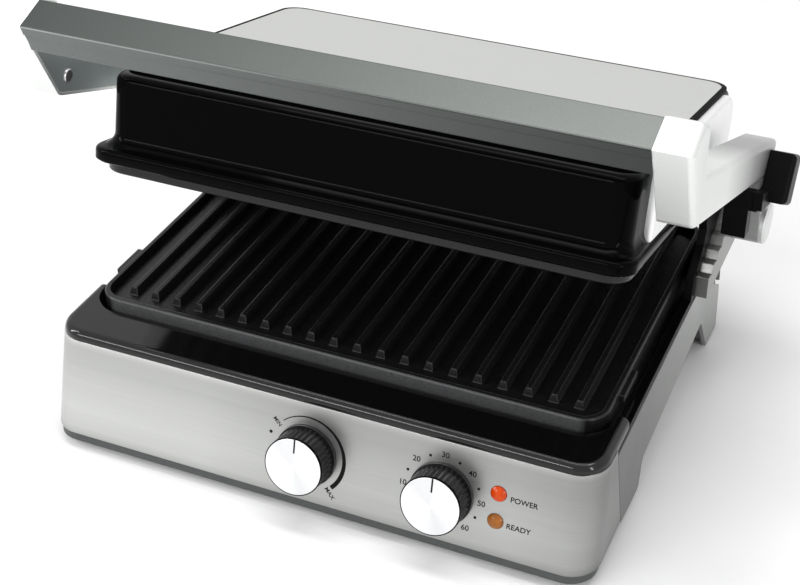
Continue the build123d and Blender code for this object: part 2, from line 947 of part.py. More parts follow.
def make_lid_trim():
    frame = lid_top_panel(0, 0, lid_trim_thickness)
    low = lid_trim_thickness - lid_sheet_thickness
    return frame - lid_top_panel(lid_trim_width, low, lid_trim_thickness)


def make_lid_sheet():
    low = lid_trim_thickness - lid_sheet_thickness
    return lid_top_panel(lid_trim_width, low, lid_trim_thickness)


def make_side_cover():
    inner = lid_wall_half_width
    outer = lid_side_half_width
    shoulder = lid_top_front_up - lid_cover_bevel_height
    points = [
        (inner, lid_flare_high),
        (outer, lid_flare_high),
        (outer, shoulder),
        (outer - lid_cover_bevel_width, lid_top_rear_up),
        (inner, lid_top_rear_up),
    ]
    cover = front_slab(polygon(points), lid_cover_front, lid_depth - lid_rear_corner_radius)
    return cover - above_lid(0)


def make_upper_plate():
    return Pos(0, 0, plate_height) * Rot(0, 180, 0) * make_grill_plate()


def make_upper_reflector():
    flange_radius = plate_corner_radius - reflector_margin
    half = plate_half_width - reflector_margin
    rear = plate_depth - reflector_margin
    low = plate_height
    high = low + reflector_sheet
    front = reflector_margin
    flange = rounded_block(half, front, rear, low, high, flange_radius, flange_radius)
    hat_half = lid_wall_half_width - lid_skin - reflector_margin
    hat_front = lid_wall_front + lid_skin + reflector_margin
    hat_rear = rear - reflector_margin
    radius = lid_wall_corner_radius - lid_skin
    hat = rounded_block(
        hat_half, hat_front, hat_rear, low, low + reflector_height, radius, radius
    )
    sheet = reflector_sheet
    inside = rounded_block(
        hat_half - sheet,
        hat_front + sheet,
        hat_rear - sheet,
        low - cut_margin,
        low + reflector_height - sheet,
        radius - sheet,
        radius - sheet,
    )
    return flange + hat - inside


def make_upper_element():
    return Pos(0, 0, plate_height) * Rot(0, 180, 0) * make_element()


def make_pivot_studs():
    collar_end = arm_inner_x - running_gap
    stud_end = arm_inner_x + pivot_stud_length
    collar = cross_cylinder(
        pivot_collar_radius, lid_side_half_width, collar_end, pivot_back, pivot_up
    )
    stud = cross_cylinder(pivot_stud_radius, collar_end, stud_end, pivot_back, pivot_up)
    return both_sides(collar + stud)


# Controls, drawn with Z out of the front panel's outer face


def fluted_outline():
    """A circle cut by even V-shaped flutes."""
    points = []
    for flute in range(knob_flutes):
        angle = 2 * pi * flute / knob_flutes
        half = pi / knob_flutes
        deep = knob_radius - knob_flute_depth
        points.append((knob_radius * cos(angle), knob_radius * sin(angle)))
        points.append((deep * cos(angle + half), deep * sin(angle + half)))
    return polygon(points)


def make_knob():
    flange_top = knob_panel_gap + knob_flange_height
    flange = Cylinder(knob_flange_radius, knob_flange_height)
    flange = Pos(0, 0, knob_panel_gap + knob_flange_height / 2) * flange
    length = knob_length - knob_cap_thickness - flange_top
    skirt = extrude(Pos(0, 0, flange_top) * fluted_outline(), length)
    bore = Pos(0, 0, shaft_grip / 2) * Cylinder(shaft_radius, shaft_grip)
    return flange + skirt - bore


def make_knob_cap():
    low = knob_length - knob_cap_thickness
    disc = Pos(0, 0, low + knob_cap_thickness / 2) * Cylinder(knob_cap_radius, knob_cap_thickness)
    groove_y = knob_cap_radius - pointer_length / 2
    groove = Pos(0, groove_y, knob_length) * Box(pointer_width, pointer_length, 2 * pointer_depth)
    return disc - groove


def make_shaft():
    low = -steel_thickness - shaft_engagement
    return Pos(0, 0, (low + shaft_grip) / 2) * Cylinder(shaft_radius, shaft_grip - low)


def make_control_body():
    width = control_body_width
    depth = control_body_depth
    case = Pos(0, 0, -steel_thickness - depth / 2) * Box(width, width, depth)
    case = fillet(case.edges().filter_by(Axis.Z), control_body_radius)
    hole_depth = steel_thickness + shaft_engagement + running_gap
    hole = Pos(0, 0, -hole_depth / 2) * Cylinder(shaft_radius + shaft_fit, hole_depth)
    return case - hole


def make_lens():
    """A domed lens with a flange behind the panel."""
    low = -steel_thickness
    high = lens_shoulder + lens_dome
    ball_radius = (lens_radius**2 + lens_dome**2) / (2 * lens_dome)
    points = [
        (0, low - lens_flange_thickness),
        (lens_flange_radius, low - lens_flange_thickness),
        (lens_flange_radius, low),
        (lens_radius, low),
        (lens_radius, lens_shoulder),
    ]
    for step in range(1, lens_dome_steps):
        radius = lens_radius * (1 - step / lens_dome_steps)
        points.append((radius, high - ball_radius + sqrt(ball_radius**2 - radius**2)))
    points.append((0, high))
    return revolve(Plane.XZ * polygon(points), Axis.Z)


def make_lamp_holders():
    high = -steel_thickness - lens_flange_thickness
    holder = Pos(0, 0, high - lamp_holder_length / 2)
    holder *= Cylinder(lens_flange_radius, lamp_holder_length)
    return Compound(children=[power_place * holder, ready_place * holder])


# All the pieces, each in its own place

right_arm_local = make_arm(web_inner_x)
left_arm_local = mirror(make_arm(tower_outer_x + running_gap), Plane.YZ)
arm_cover_local = make_arm_cover()
side_panel = make_side_panel()
side_cover = make_side_cover()
tower = make_tower()
knob = make_knob()
knob_cap = make_knob_cap()
shaft = make_shaft()
control_body = make_control_body()
lens = make_lens()

base_pieces = {
    "bottom_tray": make_bottom_tray(),
    "rubber_feet": make_feet(),
    "base_housing": make_base_housing(),
    "front_steel_panel": make_front_steel(),
    "side_panel_right": side_panel,
    "side_panel_left": mirror(side_panel, Plane.YZ),
    "rear_cover": make_rear_cover(),
    "cord_bushing": make_cord_bushing(),
    "top_deck": make_top_deck(),
    "lower_reflector": Pos(0, plate_front_y, plate_bottom_z) * make_reflector(),
    "lower_heating_element": Pos(0, plate_front_y, plate_bottom_z) * make_element(),
    "lower_grill_plate": make_lower_plate(),
    "hinge_tower_right": tower,
    "hinge_tower_left": mirror(tower, Plane.YZ),
    "hinge_rack": make_rack(),
    "hinge_pins": make_hinge_pins(),
    "thermostat_body": thermostat_place * control_body,
    "timer_body": timer_place * control_body,
    "power_lens": power_place * lens,
    "ready_lens": ready_place * lens,
    "lamp_holders": make_lamp_holders(),
}
arm_pieces = {
    "arm_right": right_arm_local,
    "arm_left": left_arm_local,
    "arm_cover_right": arm_cover_local,
    "arm_cover_left": mirror(arm_cover_local, Plane.YZ),
    "handle_cap": make_handle_cap(),
    "handle_body": make_handle_body(),
    "handle_core": handle_core(),
    "barrel_caps": make_barrel_caps(),
    "arm_screws": make_arm_screws(),
    "release_lever": make_lever(),
}
lid_pieces = {
    "lid_shell": make_lid_shell(),
    "lid_top_trim": make_lid_trim(),
    "lid_top_sheet": make_lid_sheet(),
    "lid_side_cover_right": side_cover,
    "lid_side_cover_left": mirror(side_cover, Plane.YZ),
    "upper_grill_plate": make_upper_plate(),
    "upper_reflector": make_upper_reflector(),
    "upper_heating_element": make_upper_element(),
    "pivot_studs": make_pivot_studs(),
}
knob_pieces = {
    "temperature_knob": thermostat_place * knob,
    "temperature_knob_cap": thermostat_place * knob_cap,
    "temperature_shaft": thermostat_place * shaft,
    "timer_knob": timer_place * knob,
    "timer_knob_cap": timer_place * knob_cap,
    "timer_shaft": timer_place * shaft,
}

pieces = dict(base_pieces)
pieces.update({name: arm_place * solid for name, solid in arm_pieces.items()})
pieces.update({name: lid_place * solid for name, solid in lid_pieces.items()})
pieces.update(knob_pieces)

os.makedirs("parts", exist_ok=True)
for name, solid in pieces.items():
    export_step(solid, f"parts/{name}.step")

print("arms close by", round(closing_angle, 3), "degrees; lid turns by", round(tilt_ratio, 4))
print("lid pivot", [round(v, 3) for v in pivot_place.position])
print("thermostat axis", [round(v, 3) for v in thermostat_place.position])
print("timer axis", [round(v, 3) for v in timer_place.position])
print("feet", [round(v, 3) for v in (foot_x, foot_front_y, foot_rear_y)])
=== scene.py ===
import bpy
import json
from math import cos, pi, radians, sin, tan
from mathutils import Euler, Matrix, Vector


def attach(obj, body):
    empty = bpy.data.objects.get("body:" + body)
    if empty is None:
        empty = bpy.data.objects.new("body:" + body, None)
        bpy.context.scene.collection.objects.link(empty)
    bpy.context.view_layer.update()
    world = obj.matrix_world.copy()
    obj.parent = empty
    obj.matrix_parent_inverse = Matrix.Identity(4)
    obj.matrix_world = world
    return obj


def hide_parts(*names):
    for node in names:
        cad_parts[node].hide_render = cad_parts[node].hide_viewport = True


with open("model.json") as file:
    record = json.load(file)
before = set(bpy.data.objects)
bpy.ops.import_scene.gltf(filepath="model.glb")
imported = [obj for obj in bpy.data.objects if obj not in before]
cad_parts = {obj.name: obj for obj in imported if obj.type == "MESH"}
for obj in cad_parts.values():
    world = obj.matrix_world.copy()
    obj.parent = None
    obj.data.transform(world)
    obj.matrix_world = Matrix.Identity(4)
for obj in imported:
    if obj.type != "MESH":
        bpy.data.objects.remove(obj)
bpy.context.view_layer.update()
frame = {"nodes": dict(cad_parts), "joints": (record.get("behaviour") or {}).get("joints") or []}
nodes = frame["nodes"]
joints = {joint["name"]: joint for joint in frame["joints"]}
MM = 0.001

# The camera stands where the photograph was taken from: its place in millimetres, its turns in degrees
CAMERA_PLACE = (284.1, -650.0, 543.6)
CAMERA_TURN = 23.64
CAMERA_DROP = 34.41
CAMERA_ROLL = -0.39
CAMERA_LENS = 70.3
CAMERA_SENSOR = 36.0

# The leaning front panel, with the two dials' shafts through it
FRONT_LEAN = 13.5
PANEL_TOP = (-113.0, 62.0)
THERMOSTAT_X = joints["temperature_turn"]["pos_m"][0] / MM
TIMER_X = joints["timer_turn"]["pos_m"][0] / MM
CONTROL_HEIGHT = joints["temperature_turn"]["pos_m"][2] / MM
KNOB_LENGTH = 15.5
KNOB_CAP_RADIUS = 15.0
KNOB_FACE_HEIGHT = CONTROL_HEIGHT + KNOB_LENGTH * sin(radians(FRONT_LEAN))


class Field:
    """A shader socket that takes part in sums like a number."""

    def __init__(self, tree, socket):
        self.tree = tree
        self.socket = socket

    def maths(self, operation, first, second=0.0):
        return self.tree.node("ShaderNodeMath", {"operation": operation}, {0: first, 1: second})

    def sine(self):
        return self.maths("SINE", self)

    def larger(self, other):
        return self.maths("MAXIMUM", self, other)

    def __add__(self, other):
        return self.maths("ADD", self, other)

    def __sub__(self, other):
        return self.maths("SUBTRACT", self, other)

    def __rsub__(self, other):
        return self.maths("SUBTRACT", other, self)

    def __mul__(self, other):
        return self.maths("MULTIPLY", self, other)

    def __truediv__(self, other):
        return self.maths("DIVIDE", self, other)

    __radd__ = __add__
    __rmul__ = __mul__


class Nodes:
    """A node tree whose nodes all come from one method."""

    def __init__(self, tree):
        self.tree = tree

    def node(self, kind, settings, values, output=0):
        """Adds a node: its settings first, then numbers or links on its sockets."""
        made = self.tree.nodes.new(kind)
        for key, value in settings.items():
            if key == "stops":
                self.set_stops(made.color_ramp, value)
            else:
                setattr(made, key, value)
        for key, value in values.items():
            self.feed(made.inputs[key], value)
        return Field(self, made.outputs[output])

    def set_stops(self, ramp, stops):
        while len(ramp.elements) < len(stops):
            ramp.elements.new(1.0)
        for element, (place, colour) in zip(ramp.elements, stops):
            element.position = place
            element.color = (*colour, 1.0)

    def feed(self, socket, value):
        if isinstance(value, Field):
            self.tree.links.new(value.socket, socket)
        elif isinstance(value, tuple) and len(value) == 3 and socket.type == "RGBA":
            socket.default_value = (*value, 1.0)
        else:
            socket.default_value = value


class Paint(Nodes):
    """One material, built node by node."""

    def __init__(self, name):
        self.material = bpy.data.materials.new(name)
        self.material.use_nodes = True
        super().__init__(self.material.node_tree)
        self.shader = self.tree.nodes["Principled BSDF"]

    def place(self, stretch=None):
        """The object's own coordinates in metres, stretched along each axis where that is asked for."""
        where = self.node("ShaderNodeTexCoord", {}, {}, "Object")
        if stretch is None:
            return where
        return self.node("ShaderNodeMapping", {}, {"Vector": where, "Scale": stretch})

    def along(self, axis):
        """How far a point lies along one of the object's axes, in millimetres."""
        return self.node("ShaderNodeSeparateXYZ", {}, {"Vector": self.place()}, axis) / MM

    def noise(self, scale, detail, rough, stretch=None):
        values = {"Vector": self.place(stretch), "Scale": scale, "Detail": detail, "Roughness": rough}
        return self.node("ShaderNodeTexNoise", {}, values, "Fac")

    def colours(self, factor, stops):
        return self.node("ShaderNodeValToRGB", {"stops": stops}, {"Fac": factor}, "Color")

    def greys(self, factor, stops):
        return self.colours(factor, [(at, (grey, grey, grey)) for at, grey in stops])

    def blend(self, factor, first, second):
        settings = {"data_type": "RGBA"}
        return self.node("ShaderNodeMix", settings, {0: factor, 6: first, 7: second}, 2)

    def shaded(self, colour, shade):
        """One colour multiplied by another."""
        settings = {"data_type": "RGBA", "blend_type": "MULTIPLY"}
        return self.node("ShaderNodeMix", settings, {0: 1.0, 6: colour, 7: shade}, 2)

    def painted_light_along(self, tone, axis, stops):
        """A colour multiplied by a grey that changes along one of the object's axes: painted shade and
        reflection.
        """
        low, high = stops[0][0], stops[-1][0]
        share = (self.along(axis) - low) / (high - low)
        ramp = [((at - low) / (high - low), grey) for at, grey in stops]
        return self.shaded(tone, self.greys(share, ramp))

    def bump(self, height, strength, distance, edge):
        """A bumpy normal that also rounds off the piece's edges; distance and edge are in millimetres."""
        smooth = self.soft_edge(edge)
        values = {"Height": height, "Strength": strength, "Distance": distance * MM, "Normal": smooth}
        return self.node("ShaderNodeBump", {}, values)

    def soft_edge(self, radius):
        """A normal that rounds off the piece's edges by a radius in millimetres."""
        return self.node("ShaderNodeBevel", {"samples": 6}, {"Radius": radius * MM})

    def finish(self, **sockets):
        for name, value in sockets.items():
            self.feed(self.shader.inputs[name.replace("_", " ")], value)
        return self.material


def toned(colour, factor, lift=0.0):
    return tuple(min(1.0, part * factor + lift) for part in colour)


def worn(paint, low, high):
    """A slow patchy change between two values, as handling leaves it."""
    return paint.noise(60.0, 4.0, 0.6) * (high - low) + low


# Finishes


def brushed_metal(name, colour, lines, roughness, contrast=0.1, painted_light_fades=()):
    """Metal with fine hairlines; lines is how often they change along each axis."""
    paint = Paint(name)
    fine = paint.noise(1.0, 3.0, 0.7, lines)
    broad = paint.noise(1.0, 2.0, 0.6, tuple(often * 0.13 for often in lines))
    hair = fine * 0.75 + broad * 0.25
    tone = paint.colours(hair, [(0.3, toned(colour, 1 - contrast)), (0.7, toned(colour, 1 + contrast))])
    # Painted shade and reflection: greys that change along the object's axes darken or lighten the tone
    for axis, stops in painted_light_fades:
        tone = paint.painted_light_along(tone, axis, stops)
    return paint.finish(
        Base_Color=tone,
        Metallic=1.0,
        Roughness=hair * 0.16 + (roughness - 0.08),
        Normal=paint.bump(hair, 0.2, 0.04, 0.5),
    )


def lacquered_metal(name, colour, roughness, flake=0.08, metallic=0.75, painted_light_fades=()):
    """Silver or grey lacquer with very small metal flakes."""
    paint = Paint(name)
    flakes = paint.noise(2600.0, 2.0, 0.6)
    tone = paint.colours(flakes, [(0.35, toned(colour, 1 - flake)), (0.65, toned(colour, 1 + flake))])
    # Painted shade and reflection: greys that change along the object's axes darken or lighten the tone
    for axis, stops in painted_light_fades:
        tone = paint.painted_light_along(tone, axis, stops)
    return paint.finish(
        Base_Color=tone,
        Metallic=metallic,
        Roughness=worn(paint, roughness - 0.04, roughness + 0.06),
        Normal=paint.bump(flakes, 0.12, 0.02, 0.6),
    )


# The handle's upper face as a plane: how far its normal points back and up, and how far out it lies
HANDLE_FACE = (-0.333, 0.943, 249.1)
HANDLE_HALF = 160.0
# Painted light on the handle: upper-face tones lighter to the right, lower-face tones darker to the right,
# and the edge line between them
HANDLE_UPPER_PAINTED_LIGHT = [(0.0, (0.05, 0.057, 0.053)), (0.5, (0.102, 0.112, 0.106)), (1.0, (0.18, 0.19, 0.18))]
HANDLE_LOWER_PAINTED_SHADE = [(0.0, (0.15, 0.163, 0.158)), (0.45, (0.12, 0.13, 0.124)), (1.0, (0.04, 0.043, 0.042))]
HANDLE_EDGE_PAINTED_HIGHLIGHT_AND_GROOVE = [
    (0.0, (0.5, 0.52, 0.5)), (0.35, (0.3, 0.31, 0.3)), (0.6, (0.02, 0.02, 0.02)), (1.0, (0.01, 0.01, 0.01)),
]


def handle_lacquer(name):
    """Flaked grey lacquer with painted reflection and shade: the handle's upper face lightens to the right,
    its lower face darkens, and a painted highlight runs along the edge between them.
    """
    paint = Paint(name)
    flakes = paint.noise(2400.0, 2.0, 0.6)
    run, rise, reach = HANDLE_FACE
    depth = reach - (paint.along("Y") * run + paint.along("Z") * rise)
    share = (paint.along("X") + HANDLE_HALF) / (2 * HANDLE_HALF)
    below = paint.greys(depth, [(0.25, 0.0), (0.45, 1.0)])
    # Painted highlight along the edge between the faces, bright at the left and turning into a dark groove
    # at the right
    line = paint.greys(depth, [(0.35, 0.0), (0.5, 1.0), (0.9, 1.0), (1.0, 0.0)])
    faces = paint.blend(below, paint.colours(share, HANDLE_UPPER_PAINTED_LIGHT), paint.colours(share, HANDLE_LOWER_PAINTED_SHADE))
    tone = paint.blend(line * (flakes * 0.8 + 0.2), faces, paint.colours(share, HANDLE_EDGE_PAINTED_HIGHLIGHT_AND_GROOVE))
    return paint.finish(
        Base_Color=paint.shaded(tone, paint.greys(flakes, [(0.35, 0.8), (0.65, 1.0)])),
        Metallic=0.6,
        Roughness=worn(paint, 0.38, 0.48),
        Normal=paint.bump(flakes, 0.12, 0.02, 0.4),
    )


def moulded_plastic(name, colour, roughness, grain, edge=0.5, specular=0.4):
    """Moulded plastic with a spark-eroded grain."""
    paint = Paint(name)
    pits = paint.noise(1500.0, 3.0, 0.6)
    return paint.finish(
        Base_Color=paint.colours(pits, [(0.3, toned(colour, 0.8)), (0.7, toned(colour, 1.25))]),
        Specular_IOR_Level=specular,
        Roughness=worn(paint, roughness - 0.05, roughness + 0.07),
        Normal=paint.bump(pits, grain, 0.05, edge),
    )


def gloss_plastic(name, colour, roughness, specular):
    """Polished black moulding with faint sink marks and fine dust."""
    paint = Paint(name)
    sink = paint.noise(14.0, 2.0, 0.5)
    dust = paint.noise(900.0, 3.0, 0.7)
    return paint.finish(
        Base_Color=paint.colours(dust, [(0.45, colour), (0.85, toned(colour, 1.6))]),
        Specular_IOR_Level=specular,
        Roughness=dust * 0.05 + (roughness - 0.02),
        Normal=paint.bump(sink, 0.08, 0.3, 0.8),
    )


LOWER_PLATE_FRONT = -86.0
COATING_DARK = (0.005, 0.005, 0.0054)
COATING_LIGHT = (0.014, 0.014, 0.015)
PAINTED_LIT_WALL_GREY = (0.1, 0.102, 0.104)


def non_stick(name):
    """Cast aluminium with a sprayed black coating, and painted light that makes the front wall greyer."""
    paint = Paint(name)
    cast = paint.noise(700.0, 4.0, 0.65)
    speck = paint.noise(3200.0, 1.0, 0.5)
    coat = paint.colours(speck, [(0.3, COATING_DARK), (0.72, COATING_LIGHT)])
    # Painted light: the front wall is drawn greyer than the rest of the coating
    wall = paint.greys((paint.along("Y") - LOWER_PLATE_FRONT) / 3.0, [(0.4, 1.0), (0.75, 0.0)])
    return paint.finish(
        Base_Color=paint.blend(wall * (cast * 0.8 + 0.35), coat, PAINTED_LIT_WALL_GREY),
        Metallic=0.1,
        Specular_IOR_Level=0.34,
        Roughness=cast * 0.2 + 0.2,
        Normal=paint.bump(cast, 0.35, 0.08, 1.0),
    )


SPUN_BRIGHT = (0.93, 0.94, 0.95)


def spun_disc(name, x):
    """A turned face with a painted sheen that falls in wedges round the middle of its own dial."""
    paint = Paint(name)
    rings = paint.noise(900.0, 2.0, 0.6)
    across = paint.along("X") - x
    up = paint.along("Z") - KNOB_FACE_HEIGHT
    angle = up.maths("ARCTAN2", up, across)
    # Painted sheen: the tone changes in wedges with the angle round the dial, over the turned rings
    wedge = (angle * 2.0 + 0.6).sine()
    fine = (angle * 7.0).sine()
    sheen = wedge * 0.36 + fine * 0.05 + rings * 0.2 + 0.4
    return paint.finish(
        Base_Color=paint.colours(sheen, [(0.0, toned(SPUN_BRIGHT, 0.74)), (1.0, SPUN_BRIGHT)]),
        Metallic=1.0,
        Roughness=rings * 0.1 + 0.26,
        Normal=paint.soft_edge(0.4),
    )


def lamp_plastic(name, colour, core, glow):
    """A translucent lens, clouded between its tone and a brighter one, and glowing faintly."""
    paint = Paint(name)
    cloud = paint.noise(160.0, 2.0, 0.5)
    tone = paint.blend(cloud, colour, core)
    return paint.finish(
        Base_Color=tone,
        Specular_IOR_Level=0.15,
        Coat_Weight=0.15,
        Coat_Roughness=0.05,
        Emission_Color=tone,
        Emission_Strength=glow,
        Roughness=cloud * 0.05 + 0.15,
    )


def ink(name, colour):
    """Matt printing ink."""
    paint = Paint(name)
    dust = paint.noise(1800.0, 2.0, 0.5)
    return paint.finish(
        Base_Color=paint.colours(dust, [(0.3, colour), (0.8, toned(colour, 1.5, 0.002))]),
        Specular_IOR_Level=0.1,
        Roughness=dust * 0.1 + 0.5,
    )


# Painted shade and reflection: how the tone of a finish changes along an axis, as pairs of a place in
# millimetres and a grey
# Front steel up its height: painted shade near the bottom and below the top edge, and a painted highlight
# along the top edge
FRONT_PAINTED_LIGHT_UP = [
    (9.5, 0.75), (14.0, 0.98), (24.0, 1.05), (40.0, 0.95),
    (50.0, 0.84), (58.5, 0.8), (60.6, 0.92), (61.3, 1.0),
]
# Front steel across: painted shade, darker towards the right
FRONT_PAINTED_SHADE_ACROSS = [(-150.0, 1.0), (-60.0, 0.97), (0.0, 0.8), (110.0, 0.8), (140.0, 0.68), (150.0, 0.55)]
# Arms: painted shade and reflection, darker over the rear of the bar, near the dark hinge parts
ARM_PAINTED_SHADE_BACK = [(-110.0, 1.0), (-70.0, 0.85), (-10.0, 0.88), (60.0, 0.42), (95.0, 0.42), (130.0, 0.6)]
# Side panels: painted shade, darker towards the front
PANEL_PAINTED_SHADE_BACK = [(-90.0, 0.4), (-40.0, 0.5), (60.0, 0.95), (90.0, 0.85), (125.0, 0.9)]

steel_front = brushed_metal(
    "front_brushed_steel", (0.51, 0.516, 0.504), (10.0, 10.0, 2600.0), 0.36, 0.06,
    [("Z", FRONT_PAINTED_LIGHT_UP), ("X", FRONT_PAINTED_SHADE_ACROSS)],
)
steel_top = brushed_metal("lid_brushed_steel", (0.62, 0.63, 0.61), (10.0, 2200.0, 300.0), 0.33, 0.05)
pressed = brushed_metal("pressed_sheet", (0.52, 0.51, 0.49), (400.0, 400.0, 400.0), 0.4)
heater = brushed_metal("heater_tube", (0.2, 0.18, 0.17), (600.0, 600.0, 600.0), 0.55)
pin_steel = brushed_metal("turned_steel", (0.6, 0.6, 0.6), (1800.0, 60.0, 60.0), 0.3)
silver = lacquered_metal("silver_lacquer", (0.72, 0.73, 0.72), 0.36)
cover_silver = lacquered_metal("cover_silver_lacquer", (0.92, 0.93, 0.92), 0.34, 0.04)
arm_silver = lacquered_metal("arm_silver", (0.88, 0.895, 0.88), 0.42, 0.04, 0.85, [("Y", ARM_PAINTED_SHADE_BACK)])
panel_grey = lacquered_metal("panel_grey_lacquer", (0.4, 0.41, 0.4), 0.42, painted_light_fades=[("Y", PANEL_PAINTED_SHADE_BACK)])
handle_grey = handle_lacquer("handle_grey_lacquer")
cover_grey = lacquered_metal("cover_grey_lacquer", (0.35, 0.385, 0.385), 0.4, 0.1, 0.7)
rack_metal = lacquered_metal("rack_metal", (0.22, 0.22, 0.215), 0.3, 0.04, 1.0)
black_gloss = gloss_plastic("gloss_black", (0.0012, 0.0012, 0.0013), 0.08, 0.03)
deck_black = gloss_plastic("deck_gloss_black", (0.003, 0.003, 0.0032), 0.1, 0.4)
black_matt = moulded_plastic("matt_black", (0.004, 0.004, 0.0042), 0.36, 0.12, 0.5, 0.05)
knob_black = moulded_plastic("knob_black", (0.006, 0.006, 0.0062), 0.28, 0.08, 0.15, 0.35)
frame_black = moulded_plastic("frame_black", (0.002, 0.002, 0.002), 0.5, 0.05, 0.3, 0.02)
tray_grey = moulded_plastic("tray_dark_grey", (0.06, 0.065, 0.065), 0.42, 0.2)
rubber = moulded_plastic("foot_rubber", (0.015, 0.015, 0.015), 0.8, 0.4)
coated = non_stick("non_stick_coating")
spun_left = spun_disc("spun_aluminium_left", THERMOSTAT_X)
spun_right = spun_disc("spun_aluminium_right", TIMER_X)
orange = lamp_plastic("orange_lens", (0.34, 0.014, 0.002), (0.72, 0.085, 0.004), 0.1)
amber = lamp_plastic("amber_lens", (0.015, 0.035, 0.025), (0.55, 0.16, 0.012), 0.08)
print_black = ink("printed_black", (0.004, 0.004, 0.004))

FINISHES = [
    (steel_front, ["front_steel_panel"]),
    (steel_top, ["lid_top_sheet"]),
    (pressed, ["lower_reflector", "upper_reflector", "thermostat_body", "timer_body"]),
    (heater, ["lower_heating_element", "upper_heating_element"]),
    (pin_steel, ["hinge_pins", "handle_core", "arm_screws", "pivot_studs"]),
    (pin_steel, ["temperature_shaft", "timer_shaft"]),
    (silver, ["barrel_caps", "lid_side_cover_left", "lid_side_cover_right"]),
    (arm_silver, ["arm_left", "arm_right"]),
    (panel_grey, ["side_panel_left", "side_panel_right"]),
    (handle_grey, ["handle_cap", "handle_body"]),
    (cover_grey, ["arm_cover_left", "arm_cover_right"]),
    (black_gloss, ["lid_shell", "lid_top_trim"]),
    (deck_black, ["top_deck"]),
    (black_matt, ["base_housing", "rear_cover", "hinge_tower_left", "hinge_tower_right"]),
    (black_matt, ["lamp_holders", "release_lever"]),
    (knob_black, ["temperature_knob", "timer_knob"]),
    (tray_grey, ["bottom_tray"]),
    (rack_metal, ["hinge_rack"]),
    (rubber, ["rubber_feet", "cord_bushing"]),
    (coated, ["lower_grill_plate", "upper_grill_plate"]),
    (spun_left, ["temperature_knob_cap"]),
    (spun_right, ["timer_knob_cap"]),
    (orange, ["power_lens"]),
    (amber, ["ready_lens"]),
]
for material, names in FINISHES:
    for name in names:
        mesh = nodes[name].data
        mesh.materials.clear()
        mesh.materials.append(material)


# Modelling helpers

CORNER_STEPS = 8


def deselect():
    for item in bpy.context.selected_objects:
        item.select_set(False)


def select_only(piece):
    deselect()
    piece.select_set(True)
    bpy.context.view_layer.objects.active = piece


def begin(name):
    """Names the object just added and opens it for editing, all of it selected."""
    piece = bpy.context.object
    piece.name = name
    piece.data.name = name
    bpy.ops.object.mode_set(mode="EDIT")
    bpy.ops.mesh.select_all(action="SELECT")
    return piece


def pick_vertices(piece, wanted):
    """While editing, selects only the vertices whose place, in millimetres, is wanted."""
    bpy.ops.mesh.select_all(action="DESELECT")
    bpy.ops.object.mode_set(mode="OBJECT")
    for vertex in piece.data.vertices:
        vertex.select = wanted(vertex.co / MM)
    bpy.ops.object.mode_set(mode="EDIT")


def pick_faces(piece, wanted):
    """While editing, selects only the faces whose normal is wanted."""
    bpy.ops.mesh.select_all(action="DESELECT")
    bpy.ops.mesh.select_mode(type="FACE")
    bpy.ops.object.mode_set(mode="OBJECT")
    for face in piece.data.polygons:
        face.select = wanted(face.normal)
    bpy.ops.object.mode_set(mode="EDIT")


def copied(piece, name):
    """A copy of a piece that isn't in its place yet, with a mesh of its own."""
    bpy.ops.object.mode_set(mode="OBJECT")
    select_only(piece)
    bpy.ops.object.duplicate(linked=False)
    copy = bpy.context.object
    copy.name = name
    copy.data.name = name
    return copy


def settle(piece, place, material, body, angle=35.0):
    """Turns the faces outwards, puts the piece in its place and hangs it on its body."""
    bpy.ops.object.mode_set(mode="OBJECT")
    select_only(piece)
    bpy.ops.object.mode_set(mode="EDIT")
    bpy.ops.mesh.select_all(action="SELECT")
    bpy.ops.mesh.normals_make_consistent(inside=False)
    bpy.ops.object.mode_set(mode="OBJECT")
    piece.matrix_world = place @ piece.matrix_world
    bpy.ops.object.transform_apply(location=True, rotation=True, scale=True)
    bpy.ops.object.shade_smooth_by_angle(angle=radians(angle))
    piece.data.materials.clear()
    piece.data.materials.append(material)
    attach(piece, body)


def box_body(name, size, middle):
    """A box of a size round a middle, open for editing."""
    deselect()
    bpy.ops.mesh.primitive_cube_add(size=1.0, location=(0.0, 0.0, 0.0))
    piece = begin(name)
    bpy.ops.transform.resize(value=Vector(size) * MM, center_override=(0.0, 0.0, 0.0))
    bpy.ops.transform.translate(value=Vector(middle) * MM)
    return piece


def ring_body(name, rings, corner):
    """A body of rounded outlines, each (up, half width, front, rear) in millimetres."""
    deselect()
    up, half, front, rear = rings[0]
    middle = (front + rear) / 2
    bpy.ops.mesh.primitive_plane_add(size=2.0, location=(0.0, 0.0, 0.0))
    piece = begin(name)
    size = (half * MM, (rear - front) / 2 * MM, 1.0)
    bpy.ops.transform.resize(value=size, center_override=(0.0, 0.0, 0.0))
    bpy.ops.transform.translate(value=(0.0, middle * MM, up * MM))
    bpy.ops.mesh.bevel(offset=corner * MM, offset_type="OFFSET", segments=CORNER_STEPS, affect="VERTICES")
    bpy.ops.mesh.select_all(action="SELECT")
    for high, wide, fore, aft in rings[1:]:
        centre = (fore + aft) / 2
        step = (0.0, (centre - middle) * MM, (high - up) * MM)
        bpy.ops.mesh.extrude_region_move(TRANSFORM_OT_translate={"value": step})
        bpy.ops.transform.resize(
            value=(wide / half, (aft - fore) / (rear - front), 1.0),
            center_override=(0.0, centre * MM, high * MM),
        )
        up, half, front, rear, middle = high, wide, fore, aft, centre
    return piece


def quarter_turn(steps):
    """The sine, and one minus the cosine, at each step of a quarter turn."""
    for step in range(1, steps + 1):
        angle = pi / 2 * step / steps
        yield sin(angle), 1 - cos(angle)


# The lid's moulding and its top, in the lid's own frame: back and up from its plate's front edge

